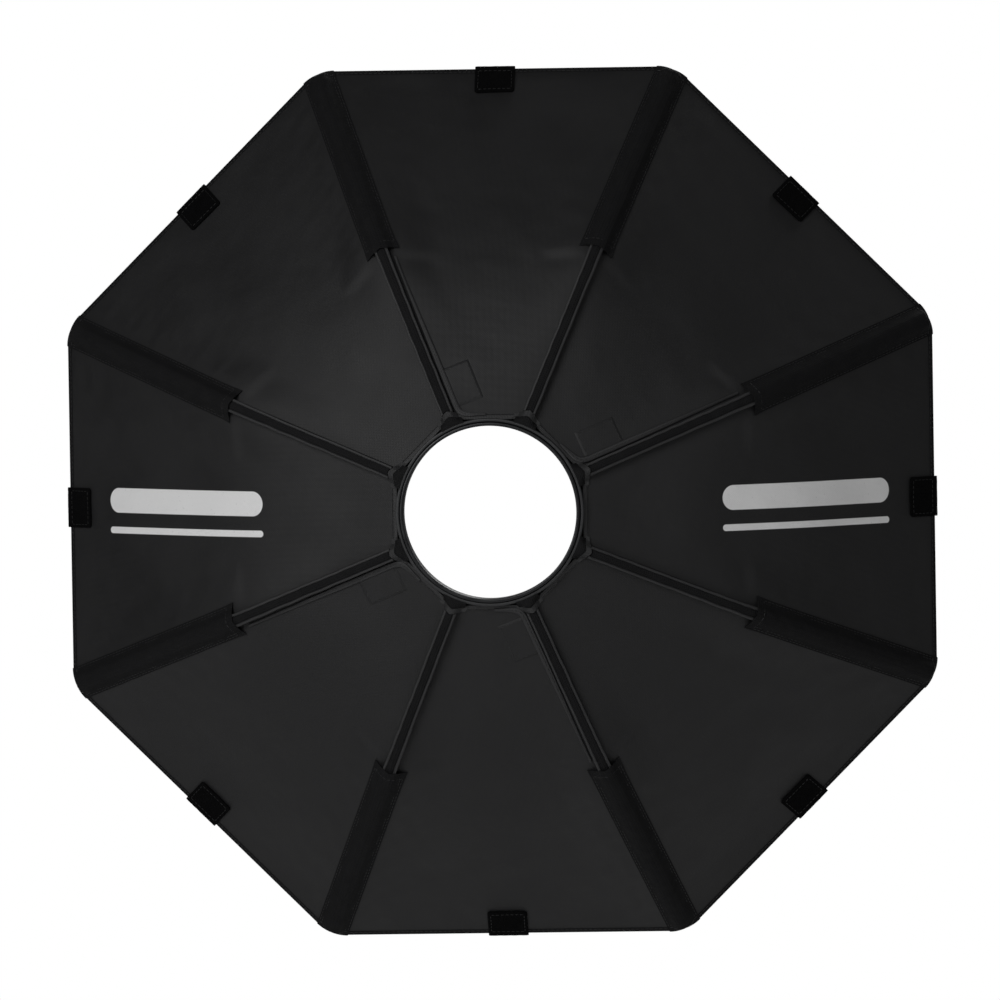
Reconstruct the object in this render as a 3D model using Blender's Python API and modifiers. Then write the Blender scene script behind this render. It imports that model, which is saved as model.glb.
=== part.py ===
"""A collapsible eight-sided softbox of the umbrella kind, seen as it stands open.

The origin is the centre of the mounting ring's rear face, +Y is the optical axis towards the open front,
and +Z is up. Eight spring rods are hinged on the hub's socket ring and run out in sewn pockets to the
corners of the rim; eight fabric gores hang between them, so the rods swing forward to close the box.
Run it in Blender, from the text editor or with --background --python.
"""

import math

import bmesh
import bpy
import numpy as np
from mathutils import Matrix, Vector

# Whole box, in metres
SIDES = 8
ACROSS_FLATS = 0.600
RIM_DEPTH = 0.160
CREASE_RADIUS = 0.196
CREASE_SOFTNESS = 0.013
INNER_SLOPE = math.radians(17.0)

# Hub rings
BORE_RADIUS = 0.0590
MOUNT_RING_WALL = 0.0024
SOCKET_RING_WALL = 0.0024
RING_PROUD = 0.0020
RING_CHAMFER = 0.0004
SOCKET_RING_LENGTH = 0.0140
RETAINER_LENGTH = 0.0030
RUNNING_CLEARANCE = 0.0003

# Pivots of the rods
PIVOT_OUT = 0.0030
PIVOT_Y = 0.0020
PIN_RADIUS = 0.0008
LUG_WALL = 0.0014
LUG_EDGE = 0.0011
FERRULE_WIDTH = 0.0040
FERRULE_EYE_RADIUS = 0.0020
FERRULE_NECK_RADIUS = 0.0018
FERRULE_LENGTH = 0.0190

# Rods, cloth and sleeves; a sleeve is narrow beside the hub and a wide pocket towards the rim
ROD_RADIUS = 0.0020
CLOTH_THICKNESS = 0.0012
FIT_GAP = 0.00035
HUB_EDGE_GAP = 0.0017
SLEEVE_GAP = 0.0020
SLEEVE_WIDTH = 0.0078
SLEEVE_SQUARENESS = 3.0
POCKET_WIDTH = 0.0240
POCKET_THICKNESS = 0.0008
POCKET_START = 0.1950
POCKET_MOUTH = 0.0020
POCKET_END_GAP = 0.0015
ROD_END_GAP = 0.0070

# Hook-and-loop tabs on the rim, and the stitched patches beside the hub
TAB_WIDTH = 0.0275
TAB_DEPTH = 0.0190
TAB_THICKNESS = 0.0014
PATCH_WIDTH = 0.0195
PATCH_LENGTH = 0.0290
PATCH_THICKNESS = 0.0010
PATCH_FROM_HUB = 0.0040
PATCH_FROM_SLEEVE = 0.0034
# each patch is on a side, next to its first (0) or second (1) corner
PATCHES = ((1, 0), (2, 1), (5, 0), (6, 1))

HALF_STEP = math.pi / SIDES
RIM_RADIUS = ACROSS_FLATS / 2 / math.cos(HALF_STEP)
MOUNT_RING_OUTER = BORE_RADIUS + MOUNT_RING_WALL
SOCKET_RING_INNER = MOUNT_RING_OUTER + RUNNING_CLEARANCE
SOCKET_RING_OUTER = SOCKET_RING_INNER + SOCKET_RING_WALL
PIVOT_RADIUS = SOCKET_RING_OUTER + PIVOT_OUT
ROD_LIFT = CLOTH_THICKNESS / 2 + FIT_GAP + ROD_RADIUS
CLOTH_START = (SOCKET_RING_OUTER + HUB_EDGE_GAP) / math.cos(HALF_STEP)

OBJECT_COLLECTION = "octabox"
CUTTER_COLLECTION = "cutters"

FINISHES = {
    "black_aluminium": ((0.030, 0.030, 0.031), 0.42, 0.6),
    "zinc_steel": ((0.50, 0.50, 0.50), 0.30, 1.0),
    "black_moulding": ((0.020, 0.020, 0.021), 0.55, 0.0),
    "black_rod": ((0.022, 0.022, 0.023), 0.32, 0.0),
    "black_cloth": ((0.016, 0.016, 0.017), 0.80, 0.0),
    "black_webbing": ((0.009, 0.009, 0.009), 0.90, 0.0),
    "hook_and_loop": ((0.004, 0.004, 0.004), 0.95, 0.0),
}


def clear_scene():
    """Remove every object, so that the script can be run again."""
    for old in list(bpy.data.objects):
        bpy.data.objects.remove(old, do_unlink=True)
    for name in (OBJECT_COLLECTION, CUTTER_COLLECTION):
        collection = bpy.data.collections.get(name) or bpy.data.collections.new(name)
        if name not in bpy.context.scene.collection.children:
            bpy.context.scene.collection.children.link(collection)


def finish(name):
    """The named finish as a Principled material."""
    material = bpy.data.materials.get(name) or bpy.data.materials.new(name)
    colour, roughness, metallic = FINISHES[name]
    material.use_nodes = True
    shader = material.node_tree.nodes["Principled BSDF"]
    shader.inputs["Base Color"].default_value = (*colour, 1.0)
    shader.inputs["Roughness"].default_value = roughness
    shader.inputs["Metallic"].default_value = metallic
    return material


def add_object(name, data, material, collection=OBJECT_COLLECTION):
    """Put mesh or curve data in the scene under a name."""
    made = bpy.data.objects.new(name, data)
    bpy.data.collections[collection].objects.link(made)
    if material:
        data.materials.append(finish(material))
    return made


def grid_mesh(name, points):
    """An open sheet from an array of points, rows by columns."""
    rows, columns, _ = points.shape
    index = np.arange(rows * columns).reshape(rows, columns)
    corners = (index[:-1, :-1], index[1:, :-1], index[1:, 1:], index[:-1, 1:])
    faces = np.stack(corners, axis=-1).reshape(-1, 4)
    mesh = bpy.data.meshes.new(name)
    mesh.from_pydata(points.reshape(-1, 3).tolist(), [], faces.tolist())
    mesh.update()
    return mesh


def solidify(made, thickness):
    """Give a sheet its thickness, half on each side."""
    shell = made.modifiers.new("thickness", "SOLIDIFY")
    shell.thickness = thickness
    shell.offset = 0.0
    shell.use_even_offset = True


def turned(name, profile, steps, material):
    """A ring turned about the Y axis; the profile is (radius, y) down the outer side first."""
    mesh = bpy.data.meshes.new(name)
    points = [(radius, y, 0.0) for radius, y in profile]
    edges = [(k, (k + 1) % len(points)) for k in range(len(points))]
    mesh.from_pydata(points, edges, [])
    made = add_object(name, mesh, material)
    screw = made.modifiers.new("turn", "SCREW")
    screw.axis = "Y"
    screw.steps = steps
    screw.render_steps = steps
    screw.use_merge_vertices = True
    screw.merge_threshold = 0.00001
    return made


def cylinder(name, radius, length, segments, material, collection=OBJECT_COLLECTION):
    """A cylinder along its own Z axis, centred."""
    shape = bmesh.new()
    bmesh.ops.create_cone(
        shape, cap_ends=True, segments=segments, radius1=radius, radius2=radius, depth=length
    )
    mesh = bpy.data.meshes.new(name)
    shape.to_mesh(mesh)
    shape.free()
    return add_object(name, mesh, material, collection)


def box(name, size, material, collection=OBJECT_COLLECTION):
    """A box centred on its origin."""
    shape = bmesh.new()
    bmesh.ops.create_cube(shape, size=1.0)
    bmesh.ops.scale(shape, vec=size, verts=shape.verts)
    mesh = bpy.data.meshes.new(name)
    shape.to_mesh(mesh)
    shape.free()
    return add_object(name, mesh, material, collection)


def hide_cutter(made):
    """Keep a cutter out of the build."""
    made.hide_render = True
    made.display_type = "WIRE"


def boolean(target, tool, operation):
    """Join or cut with a helper shape, which is then only a guide."""
    step = target.modifiers.new(operation.lower(), "BOOLEAN")
    step.operation = operation
    step.solver = "EXACT"
    step.object = tool
    hide_cutter(tool)


def corner_angle(number):
    """The direction of corner `number`, 1 to SIDES, in the XZ plane."""
    return HALF_STEP + (number - 1) * 2 * HALF_STEP


def radial(angle):
    """The unit vector away from the axis at an angle."""
    return np.array([math.cos(angle), 0.0, math.sin(angle)])


def tangent(angle):
    """The unit vector along the rim at an angle."""
    return np.array([-math.sin(angle), 0.0, math.cos(angle)])


def frame_at(angle, radius, y):
    """A placement whose X axis points away from the axis, Y is the optical axis and Z is across."""
    out = Vector(radial(angle))
    along = Vector((0.0, 1.0, 0.0))
    across = out.cross(along)
    turn = Matrix((out, along, across)).transposed().to_4x4()
    return Matrix.Translation(out * radius + along * y) @ turn


def softplus(x):
    """A smooth ramp that is flat below zero and rises by one beyond it."""
    return np.log1p(np.exp(x))


def rod_profile(radius):
    """Height y and slope of the rod's axis: a shallow inner run, a soft crease and a steeper outer run."""
    start = PIVOT_RADIUS
    end = RIM_RADIUS
    width = CREASE_SOFTNESS
    inner = math.tan(INNER_SLOPE)
    ramp_start = softplus((start - CREASE_RADIUS) / width)
    ramp_end = softplus((end - CREASE_RADIUS) / width)
    rise_left = RIM_DEPTH - PIVOT_Y - inner * (end - start)
    extra = rise_left / (width * (ramp_end - ramp_start))
    ramp = width * (softplus((radius - CREASE_RADIUS) / width) - ramp_start)
    height = PIVOT_Y + inner * (radius - start) + extra * ramp
    slope = inner + extra / (1.0 + np.exp(-(radius - CREASE_RADIUS) / width))
    return height, slope


def cloth_line(radius):
    """Radius and y of the cloth on a corner line, which lies in front of the rod's axis."""
    height, slope = rod_profile(radius)
    size = np.sqrt(1.0 + slope**2)
    return radius - ROD_LIFT * slope / size, height + ROD_LIFT / size


def stations():
    """Radii of the rows that the cloth and the sleeves on it share, closest where the cloth bends."""
    bend = CREASE_RADIUS + CREASE_SOFTNESS * np.array([-6.0, -3.2, -1.6, 1.6, 3.2, 6.0])
    low = CLOTH_START + 2 * SLEEVE_GAP
    high = RIM_RADIUS - 2 * POCKET_END_GAP
    bend = bend[(bend > low) & (bend < high)]
    hub_end = [CLOTH_START, CLOTH_START + SLEEVE_GAP]
    mouth = [POCKET_START, POCKET_START + POCKET_MOUTH]
    rim_end = [RIM_RADIUS - POCKET_END_GAP, RIM_RADIUS]
    return np.sort(np.concatenate([hub_end, bend, mouth, rim_end]))


def side_points(number, radius, across):
    """Points of the cloth on side `number`; across runs from 0 at its first corner to 1 at the next."""
    r, y = cloth_line(radius)
    first = corner_angle(number)
    second = corner_angle(number + 1)
    start = r[..., None] * radial(first)
    end = r[..., None] * radial(second)
    flat = start * (1.0 - across[..., None]) + end * across[..., None]
    return flat + y[..., None] * np.array([0.0, 1.0, 0.0])


def side_normal(number, radius):
    """The normal of side `number`, pointing out of the box at the back."""
    _, slope = rod_profile(radius)
    middle = corner_angle(number) + HALF_STEP
    steepness = slope / math.cos(HALF_STEP)
    raw = steepness[..., None] * radial(middle) - np.array([0.0, 1.0, 0.0])
    return raw / np.linalg.norm(raw, axis=-1, keepdims=True)


def make_rings():
    """The bayonet ring that turns, the socket ring that holds it and the ring that keeps it in."""
    front = SOCKET_RING_LENGTH
    lip = -RING_PROUD
    chamfer = RING_CHAMFER
    turned(
        "mount_ring",
        [
            (MOUNT_RING_OUTER, front),
            (MOUNT_RING_OUTER, lip + chamfer),
            (MOUNT_RING_OUTER - chamfer, lip),
            (BORE_RADIUS + chamfer, lip),
            (BORE_RADIUS, lip + chamfer),
            (BORE_RADIUS, front),
        ],
        72,
        "black_aluminium",
    )
    turned(
        "retaining_ring",
        [
            (SOCKET_RING_OUTER, front + RUNNING_CLEARANCE + RETAINER_LENGTH),
            (SOCKET_RING_OUTER, front + RUNNING_CLEARANCE),
            (BORE_RADIUS, front + RUNNING_CLEARANCE),
            (BORE_RADIUS, front + RUNNING_CLEARANCE + RETAINER_LENGTH),
        ],
        72,
        "black_aluminium",
    )
    ring = turned(
        "socket_ring",
        [
            (SOCKET_RING_OUTER, front),
            (SOCKET_RING_OUTER, chamfer),
            (SOCKET_RING_OUTER - chamfer, 0.0),
            (SOCKET_RING_INNER, 0.0),
            (SOCKET_RING_INNER, front),
        ],
        72,
        "black_moulding",
    )
    lug_end = PIVOT_RADIUS + PIN_RADIUS + RUNNING_CLEARANCE + LUG_EDGE
    lug_start = SOCKET_RING_OUTER - SOCKET_RING_WALL / 2
    lug_height = 2 * (PIN_RADIUS + RUNNING_CLEARANCE + LUG_EDGE)
    lug_centre = FERRULE_WIDTH / 2 + RUNNING_CLEARANCE + LUG_WALL / 2
    lug_size = (lug_end - lug_start, lug_height, LUG_WALL)
    for number in range(1, SIDES + 1):
        place = frame_at(corner_angle(number), (lug_start + lug_end) / 2, PIVOT_Y)
        for side in (-1, 1):
            lug = box(f"lug_guide_{number}_{side}", lug_size, None, CUTTER_COLLECTION)
            lug.matrix_world = place @ Matrix.Translation((0.0, 0.0, side * lug_centre))
            boolean(ring, lug, "UNION")
    for number in range(1, SIDES + 1):
        hole_radius = PIN_RADIUS + RUNNING_CLEARANCE
        hole_length = 2 * lug_centre + LUG_WALL + 0.001
        hole = cylinder(f"hole_guide_{number}", hole_radius, hole_length, 16, None, CUTTER_COLLECTION)
        hole.matrix_world = frame_at(corner_angle(number), PIVOT_RADIUS, PIVOT_Y)
        boolean(ring, hole, "DIFFERENCE")


def make_pivot(number):
    """One pin and the eye ferrule that turns on it, with the ferrule's socket for the rod."""
    place = frame_at(corner_angle(number), PIVOT_RADIUS, PIVOT_Y)
    pin_length = FERRULE_WIDTH + 2 * (RUNNING_CLEARANCE + LUG_WALL)
    pin = cylinder(f"pivot_pin_{number}", PIN_RADIUS, pin_length, 16, "zinc_steel")
    pin.matrix_world = place
    _, slope = rod_profile(np.array([PIVOT_RADIUS + FERRULE_LENGTH / 2]))
    lean = math.atan(float(slope[0]))
    ferrule = cylinder(f"rod_ferrule_{number}", FERRULE_EYE_RADIUS, FERRULE_WIDTH, 20, "black_moulding")
    ferrule.matrix_world = place
    neck_start = PIN_RADIUS + RUNNING_CLEARANCE
    neck_length = FERRULE_LENGTH - RUNNING_CLEARANCE - neck_start
    neck = cylinder(f"neck_guide_{number}", FERRULE_NECK_RADIUS, neck_length, 14, None, CUTTER_COLLECTION)
    turn = Matrix.Rotation(lean, 4, "Z") @ Matrix.Rotation(math.pi / 2, 4, "Y")
    middle = Matrix.Translation((0.0, 0.0, neck_start + neck_length / 2))
    neck.matrix_world = place @ turn @ middle
    boolean(ferrule, neck, "UNION")
    hole_radius = PIN_RADIUS + RUNNING_CLEARANCE
    hole = cylinder(f"eye_guide_{number}", hole_radius, FERRULE_WIDTH * 1.5, 16, None, CUTTER_COLLECTION)
    hole.matrix_world = place
    boolean(ferrule, hole, "DIFFERENCE")


def make_rod(number):
    """One spring rod, from the end of its ferrule to just short of the rim."""
    out = radial(corner_angle(number))
    _, slope = rod_profile(np.array([PIVOT_RADIUS + FERRULE_LENGTH / 2]))
    start = PIVOT_RADIUS + FERRULE_LENGTH * math.cos(math.atan(float(slope[0]))) + RUNNING_CLEARANCE
    end = RIM_RADIUS - ROD_END_GAP
    between = stations()
    between = between[(between > start + ROD_RADIUS) & (between < end - ROD_RADIUS)]
    radius = np.concatenate([[start], between, [end]])
    height, _ = rod_profile(radius)
    points = radius[:, None] * out + height[:, None] * np.array([0.0, 1.0, 0.0])
    curve = bpy.data.curves.new(f"rod_{number}", "CURVE")
    curve.dimensions = "3D"
    curve.bevel_depth = ROD_RADIUS
    curve.bevel_resolution = 2
    curve.use_fill_caps = True
    spline = curve.splines.new("POLY")
    spline.points.add(len(points) - 1)
    for point, place in zip(spline.points, points):
        point.co = (*place, 1.0)
    add_object(f"rod_{number}", curve, "black_rod")


def make_panel(number):
    """One cloth gore between two rods, with its silver side to the front."""
    radius = stations()
    side_length = 2 * radius * math.sin(HALF_STEP)
    inset = FIT_GAP / side_length
    across = inset[:, None] + (1.0 - 2 * inset[:, None]) * np.linspace(0.0, 1.0, 5)[None, :]
    points = side_points(number, np.repeat(radius[:, None], 5, axis=1), across)
    panel = add_object(f"panel_{number}", grid_mesh(f"panel_{number}", points[:, ::-1]), "black_cloth")
    solidify(panel, CLOTH_THICKNESS)


def make_pocket(number):
    """The webbing over one rod: a narrow sleeve from the hub, then a wide pocket out to the rim."""
    shares = np.array([-1.0, -0.9, -0.7, -0.4, 0.0, 0.4, 0.7, 0.9, 1.0])
    radius = stations()[1:-1]
    half = np.where(radius > POCKET_START, POCKET_WIDTH, SLEEVE_WIDTH) / 2
    r_grid = np.repeat(radius[:, None], len(shares), axis=1)
    half_grid = np.repeat(half[:, None], len(shares), axis=1)
    wide = np.array([-1.0, -0.34, -0.24, -0.12, 0.0, 0.12, 0.24, 0.34, 1.0])
    s_grid = half_grid * np.where(half_grid > SLEEVE_WIDTH, wide[None, :], shares[None, :])
    side_length = 2 * r_grid * math.sin(HALF_STEP)
    share = np.abs(s_grid) / side_length
    after = side_points(number, r_grid, share)
    before = side_points(number - 1, r_grid, 1.0 - share)
    surface = np.where((s_grid >= 0)[..., None], after, before)
    blend = np.clip(s_grid / (SLEEVE_WIDTH / 2), -1.0, 1.0)[..., None] * 0.5 + 0.5
    normal = side_normal(number, r_grid) * blend + side_normal(number - 1, r_grid) * (1.0 - blend)
    normal /= np.linalg.norm(normal, axis=-1, keepdims=True)
    base = CLOTH_THICKNESS / 2 + FIT_GAP + POCKET_THICKNESS / 2
    crown = ROD_LIFT + ROD_RADIUS + 2 * FIT_GAP + POCKET_THICKNESS / 2
    reach = np.clip(np.abs(s_grid) / (SLEEVE_WIDTH / 2), 0.0, 1.0)
    arch = (1.0 - reach**SLEEVE_SQUARENESS) ** (1.0 / SLEEVE_SQUARENESS)
    points = surface + normal * (base + (crown - base) * arch)[..., None]
    name = f"rod_pocket_{number}"
    pocket = add_object(name, grid_mesh(name, points[:, ::-1]), "black_webbing")
    solidify(pocket, POCKET_THICKNESS)


def side_frame(number, radius):
    """The middle of side `number` at a rod radius: its point, its direction to the rim and its normal."""
    spot = np.array([radius])
    middle = corner_angle(number) + HALF_STEP
    point = side_points(number, spot, np.array([0.5]))[0]
    normal = side_normal(number, spot)[0]
    along = tangent(middle)
    down = np.cross(along, normal)
    if down @ radial(middle) < 0:
        down = -down
    return point, down, along, normal


def make_tab(number):
    """One hook-and-loop tab, folded over the rim in the middle of a side."""
    point, down, along, normal = side_frame(number, RIM_RADIUS)
    reach = CLOTH_THICKNESS / 2 + FIT_GAP + TAB_THICKNESS / 2
    turn_steps = np.linspace(-math.pi / 2, math.pi / 2, 5)
    bend = [(FIT_GAP + reach * math.cos(a), reach * math.sin(a)) for a in turn_steps]
    route = np.array([(-TAB_DEPTH, -reach), *bend, (-TAB_DEPTH, reach)])
    line = point + route[:, :1] * down + route[:, 1:] * normal
    ends = np.array([-0.5, 0.5]) * TAB_WIDTH
    points = line[:, None, :] + ends[None, :, None] * along
    tab = add_object(f"rim_tab_{number}", grid_mesh(f"rim_tab_{number}", points), "hook_and_loop")
    solidify(tab, TAB_THICKNESS)


def make_patch(number, corner):
    """One stitched patch near the hub, flat on its gore and parallel to the rod beside it."""
    edge = float(corner)
    near = CLOTH_START + PATCH_FROM_HUB
    start = side_points(number, np.array([near]), np.array([edge]))[0]
    end = side_points(number, np.array([near + PATCH_LENGTH]), np.array([edge]))[0]
    length_way = (end - start) / np.linalg.norm(end - start)
    normal = side_normal(number, np.array([near]))[0]
    inward = np.cross(normal, length_way)
    middle = corner_angle(number) + HALF_STEP
    if inward @ tangent(middle) * (1.0 - 2.0 * edge) < 0:
        inward = -inward
    aside = SLEEVE_WIDTH / 2 + PATCH_FROM_SLEEVE + PATCH_WIDTH / 2
    lift = CLOTH_THICKNESS / 2 + FIT_GAP + PATCH_THICKNESS / 2
    centre = start + length_way * PATCH_LENGTH / 2 + inward * aside + normal * lift
    patch = box(f"stitched_patch_{number}", (PATCH_LENGTH, PATCH_WIDTH, PATCH_THICKNESS), "black_cloth")
    first, second = Vector(length_way), Vector(inward)
    turn = Matrix((first, second, first.cross(second))).transposed().to_4x4()
    patch.matrix_world = Matrix.Translation(Vector(centre)) @ turn


clear_scene()
make_rings()
for corner in range(1, SIDES + 1):
    make_pivot(corner)
    make_rod(corner)
    make_panel(corner)
    make_pocket(corner)
    make_tab(corner)
for side, corner in PATCHES:
    make_patch(side, corner)
bpy.context.view_layer.update()
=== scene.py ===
"""The looks of a black eight-sided folding softbox, put together from the hub outwards.

Everything is in metres in the frame's own axes: +Y is the optical axis towards the open front and +Z is up.
Corner 1 is at 22.5 degrees above +X, seen from behind, and side n lies between corner n and corner n + 1.
"""
import math

import bmesh
import bpy
import numpy as np
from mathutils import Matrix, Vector


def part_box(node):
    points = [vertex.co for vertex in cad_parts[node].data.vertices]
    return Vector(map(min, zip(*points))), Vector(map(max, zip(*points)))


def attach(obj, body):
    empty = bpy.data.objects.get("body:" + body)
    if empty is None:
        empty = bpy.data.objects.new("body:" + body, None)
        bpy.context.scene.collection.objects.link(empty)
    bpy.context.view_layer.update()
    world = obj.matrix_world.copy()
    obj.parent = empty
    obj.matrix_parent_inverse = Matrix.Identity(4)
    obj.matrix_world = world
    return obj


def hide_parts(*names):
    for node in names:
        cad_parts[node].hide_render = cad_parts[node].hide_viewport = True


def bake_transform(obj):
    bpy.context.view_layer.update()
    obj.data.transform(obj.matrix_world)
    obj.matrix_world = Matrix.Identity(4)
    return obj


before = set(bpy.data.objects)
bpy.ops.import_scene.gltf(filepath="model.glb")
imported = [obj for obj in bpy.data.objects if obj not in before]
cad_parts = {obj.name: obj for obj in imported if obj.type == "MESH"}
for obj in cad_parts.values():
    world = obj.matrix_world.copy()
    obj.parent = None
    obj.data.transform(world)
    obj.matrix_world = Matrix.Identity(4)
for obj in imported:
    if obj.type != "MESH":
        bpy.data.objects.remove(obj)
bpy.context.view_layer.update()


# ---- Camera, light and floor ----
# A long lens straight behind the box, a touch to the right and above, so that the hub sits a little low
# and to the left of the rim. A soft light stands beside the camera, up and to the left; the backdrop is white.
view_distance = 10.0
view_width = 0.691
view_azimuth = math.radians(3.0)
view_elevation = math.radians(2.6)
view_roll = math.radians(-0.9)
rim_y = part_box("panel_2")[1][1]
aim_shift = (-0.0014, 0.0010)


def toward(azimuth, elevation):
    """The unit vector from the aim to a viewer: azimuth 0 is -Y and 90 degrees is +X."""
    flat = math.cos(elevation)
    return Vector((math.sin(azimuth) * flat, -math.cos(azimuth) * flat, math.sin(elevation)))


aim = Vector((aim_shift[0], rim_y, aim_shift[1]))
eye = aim + toward(view_azimuth, view_elevation) * view_distance
lens = bpy.data.cameras.new("rear_view")
lens.sensor_width = 36.0
lens.lens = 36.0 * view_distance / view_width
lens.clip_end = 60.0
camera = bpy.data.objects.new("rear_view", lens)
camera.location = eye
camera.rotation_euler = (aim - eye).to_track_quat("-Z", "Y").to_euler()
camera.rotation_euler.rotate_axis("Z", view_roll)
bpy.context.scene.collection.objects.link(camera)
bpy.context.scene.camera = camera


def soft_light(name, azimuth, elevation, distance, size, power):
    """A square area light that looks at the middle of the box from an azimuth and elevation in degrees."""
    lamp = bpy.data.lights.new(name, "AREA")
    lamp.shape = "SQUARE"
    lamp.size = size
    lamp.energy = power
    made = bpy.data.objects.new(name, lamp)
    way = toward(math.radians(azimuth), math.radians(elevation))
    made.location = aim + way * distance
    made.rotation_euler = way.to_track_quat("Z", "Y").to_euler()
    bpy.context.scene.collection.objects.link(made)


soft_light("key_light", azimuth=-24, elevation=19, distance=2.2, size=1.1, power=23)
soft_light("side_light", azimuth=58, elevation=24, distance=3.0, size=1.4, power=5)
soft_light("front_light", azimuth=160, elevation=35, distance=3.0, size=2.0, power=30)
bpy.context.scene.view_settings.view_transform = "Standard"


def hex_colour(code):
    """An sRGB hex value as a linear colour with full alpha."""
    parts = [int(code[k : k + 2], 16) / 255 for k in (1, 3, 5)]
    linear = [c / 12.92 if c <= 0.04045 else ((c + 0.055) / 1.055) ** 2.4 for c in parts]
    return (*linear, 1.0)


def add_node(tree, kind, inputs=None, output=0, **settings):
    """Add a shader node with its settings and return one of its outputs. Each input is a value, the hex value
    of a colour, or another node's output to link."""
    made = tree.nodes.new("ShaderNode" + kind)
    for key, value in settings.items():
        setattr(made, key, value)
    for key, value in (inputs or {}).items():
        if isinstance(value, bpy.types.NodeSocket):
            tree.links.new(value, made.inputs[key])
        else:
            made.inputs[key].default_value = hex_colour(value) if isinstance(value, str) else value
    return made.outputs[output]


def new_material(name, **constants):
    """A material whose Principled shader has the given constant inputs, and its node tree."""
    material = bpy.data.materials.new(name)
    material.use_nodes = True
    tree = material.node_tree
    shader = tree.nodes["Principled BSDF"]
    for key, value in constants.items():
        shader.inputs[key.replace("_", " ")].default_value = value
    return material, tree


def shaded(material, **outputs):
    """The material with node outputs linked to its shader's inputs, underscores for spaces in their names."""
    shader = material.node_tree.nodes["Principled BSDF"]
    for key, output in outputs.items():
        material.node_tree.links.new(output, shader.inputs[key.replace("_", " ")])
    return material


# A white backdrop all round: full white where the camera sees it, and dim where it lights the cloth.
backdrop_white = 1.0
room_glow = 0.075
world = bpy.data.worlds.new("white_backdrop")
world.use_nodes = True
seen = add_node(world.node_tree, "LightPath", output="Is Camera Ray")
backdrop = world.node_tree.nodes["Background"]
backdrop.inputs["Color"].default_value = (1.0, 1.0, 1.0, 1.0)
glow = add_node(world.node_tree, "MapRange", {"Value": seen, "To Min": room_glow, "To Max": backdrop_white})
world.node_tree.links.new(glow, backdrop.inputs["Strength"])
bpy.context.scene.world = world

# Matt white painted floor, far enough below that it stays out of the view from straight behind.
floor_drop = 0.62
bpy.ops.mesh.primitive_plane_add(size=5.0, location=(0.0, 0.0, -floor_drop))
floor = bpy.context.object
floor.name = "studio_floor"
paint, _ = new_material("white_floor_paint", Roughness=0.9, Base_Color=hex_colour("#fbfbfb"))
floor.data.materials.append(paint)


# ---- Hub rings ----
# Two thin rings of black anodised aluminium with a moulded nylon ring between them. They are turned on a
# lathe, so their lips are slightly rounded and the brushed finish runs round them.
ring_steps = 256
ring_crease = math.radians(40)
lip_radius = 0.0006
ring_wall = 0.0024
running_gap = 0.0003
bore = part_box("mount_ring")[1][0] - ring_wall


def write_uv(mesh, uv):
    """Give a mesh a UV map from one pair for each of its points."""
    loops = np.empty(len(mesh.loops), dtype=np.int64)
    mesh.loops.foreach_get("vertex_index", loops)
    layer = mesh.uv_layers.new(name="UVMap")
    layer.data.foreach_set("uv", uv.reshape(-1, 2)[loops].astype(np.float32).ravel())


def placed(name, mesh, *materials):
    """A smooth-shaded object in the scene from a mesh and its materials."""
    made = bpy.data.objects.new(name, mesh)
    bpy.context.scene.collection.objects.link(made)
    mesh.shade_smooth()
    for material in materials:
        mesh.materials.append(material)
    return made


def build(name, points, faces, materials, crease, slots=None, uv=None):
    """An object from arrays of points and quads, creased where its faces meet at more than an angle."""
    mesh = bpy.data.meshes.new(name)
    mesh.from_pydata(points.tolist(), [], faces.tolist())
    if uv is not None:
        write_uv(mesh, uv)
    if slots is not None:
        mesh.polygons.foreach_set("material_index", slots.astype(np.int32))
    mesh.update()
    made = placed(name, mesh, *materials)
    mesh.set_sharp_from_angle(angle=crease)
    return made


def carry(piece, body):
    """Carry a piece on a body."""
    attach(piece, body)


def grid_faces(rows, columns, wrap_rows=False, wrap_columns=False):
    """Quads of a grid of points, optionally joined end to end either way."""
    index = np.arange(rows * columns).reshape(rows, columns)
    if wrap_rows:
        index = np.concatenate([index, index[:1]], axis=0)
    if wrap_columns:
        index = np.concatenate([index, index[:, :1]], axis=1)
    quads = (index[:-1, :-1], index[1:, :-1], index[1:, 1:], index[:-1, 1:])
    return np.stack(quads, axis=-1).reshape(-1, 4)


def outward(points, faces):
    """The faces, turned round if the closed surface they make has a negative volume."""
    a, b, c, d = (points[faces[:, k]] for k in range(4))
    volume = (a * np.cross(b, c)).sum() + (a * np.cross(c, d)).sum()
    return faces if volume > 0 else faces[:, ::-1]


def turned_ring(name, profile, material):
    """A closed profile of (radius, y) points swept once round the Y axis."""
    profile = np.array(profile)
    angle = np.linspace(0.0, 2 * math.pi, ring_steps, endpoint=False)
    radius = profile[None, :, 0]
    points = np.stack(
        [radius * np.cos(angle)[:, None], np.broadcast_to(profile[None, :, 1], (ring_steps, len(profile))),
         radius * np.sin(angle)[:, None]], axis=-1)
    points = points.reshape(-1, 3)
    faces = outward(points, grid_faces(ring_steps, len(profile), True, True))
    return build(name, points, faces, [material], ring_crease)


def rounded_profile(inner, outer, rear, front, edge):
    """A rectangle of radius and y with each corner rounded by an arc of four points."""
    turns = np.radians([0.0, 30.0, 60.0, 90.0])
    corners = ((outer, front, 0), (inner, front, 90), (inner, rear, 180), (outer, rear, 270))
    points = []
    for radius, y, start in corners:
        a = turns + math.radians(start)
        centre = (radius - edge * (1 if radius == outer else -1), y - edge * (1 if y == front else -1))
        points += [(centre[0] + edge * math.cos(k), centre[1] + edge * math.sin(k)) for k in a]
    return points


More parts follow.
